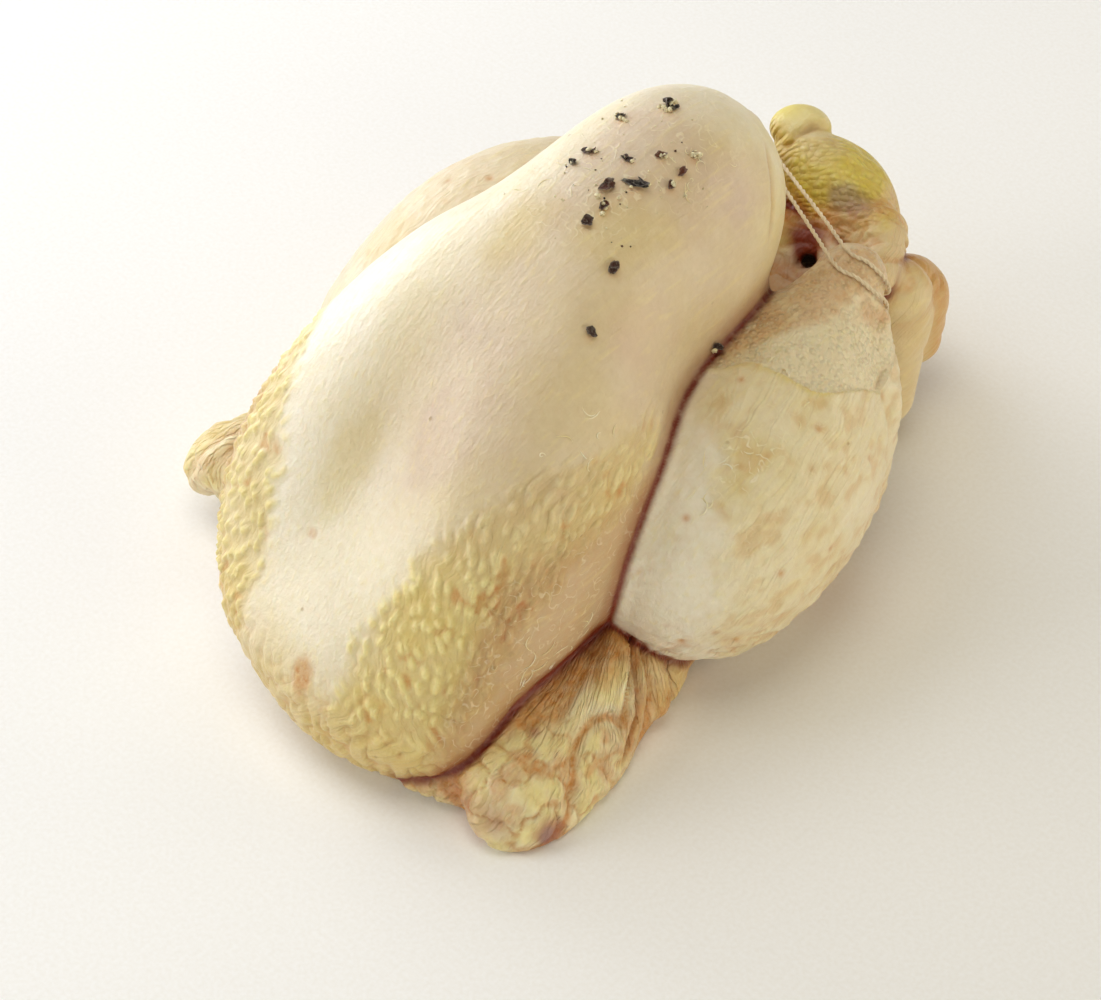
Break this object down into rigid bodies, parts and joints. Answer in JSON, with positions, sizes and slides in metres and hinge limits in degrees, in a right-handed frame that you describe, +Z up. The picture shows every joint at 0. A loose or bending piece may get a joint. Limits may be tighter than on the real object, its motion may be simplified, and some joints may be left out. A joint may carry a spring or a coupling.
{
  "type": "whole raw chicken",
  "caption": "Whole raw chicken lying on its back, breast up, legs tucked and tied with twine over an open vent, with cracked pepper on the breast.",
  "frame": {"origin": "bottom centre of the bounding box, on the surface the bird lies on", "axes": "+Z up through the breast, +Y towards the tail, -Y towards the neck end, +X the bird's right side"},
  "size_m": [0.1799, 0.2544, 0.1369],
  "materials": {
    "chicken_skin": "moist raw poultry skin, cream to pale yellow, softly glossy",
    "cotton_twine": "undyed twisted cotton",
    "cracked_pepper": "dry cracked peppercorn husk, near black to rust brown",
    "pepper_kernel": "pale dry broken peppercorn kernel"
  },
  "bodies": {
    "root": {"bird": "chicken_skin", "twine": "cotton_twine"}
  },
  "joints": []
}
